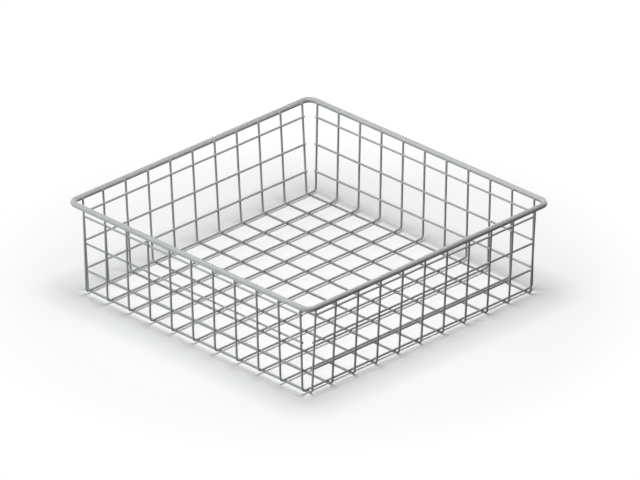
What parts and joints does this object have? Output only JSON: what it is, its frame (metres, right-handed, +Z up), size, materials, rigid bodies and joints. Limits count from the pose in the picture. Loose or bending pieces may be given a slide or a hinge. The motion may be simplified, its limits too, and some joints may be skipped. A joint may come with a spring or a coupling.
{
  "type": "mesh basket",
  "caption": "Shallow open, nearly square basket of welded round wire: a thick closed rim, crossed layers of U-bent wires for floor and walls, and straight wall rails, in a satin silver coat.",
  "frame": {"origin": "bottom centre of the bounding box: on the surface that the basket stands on, under the middle of the rim", "axes": "+Z up, +X towards the right wall, -Y towards the front wall"},
  "size_m": [0.4486, 0.4454, 0.1342],
  "materials": {
    "rim": "satin metallic silver coat",
    "wires": "satin metallic silver coat",
    "rails": "satin metallic silver coat"
  },
  "bodies": {
    "root": {"rim_wire": "rim", "upper_wire_01": "wires", "upper_wire_02": "wires", "upper_wire_03": "wires", "upper_wire_04": "wires", "upper_wire_05": "wires", "upper_wire_06": "wires", "upper_wire_07": "wires", "upper_wire_08": "wires", "upper_wire_09": "wires", "upper_wire_10": "wires", "upper_wire_11": "wires", "lower_wire_01": "wires", "lower_wire_02": "wires", "lower_wire_03": "wires", "lower_wire_04": "wires", "lower_wire_05": "wires", "lower_wire_06": "wires", "lower_wire_07": "wires", "lower_wire_08": "wires", "lower_wire_09": "wires", "lower_wire_10": "wires", "lower_wire_11": "wires", "left_rail_1": "rails", "left_rail_2": "rails", "left_rail_3": "rails", "right_rail_1": "rails", "right_rail_2": "rails", "right_rail_3": "rails", "front_rail_1": "rails", "front_rail_2": "rails", "front_rail_3": "rails", "back_rail_1": "rails", "back_rail_2": "rails", "back_rail_3": "rails"}
  },
  "joints": []
}
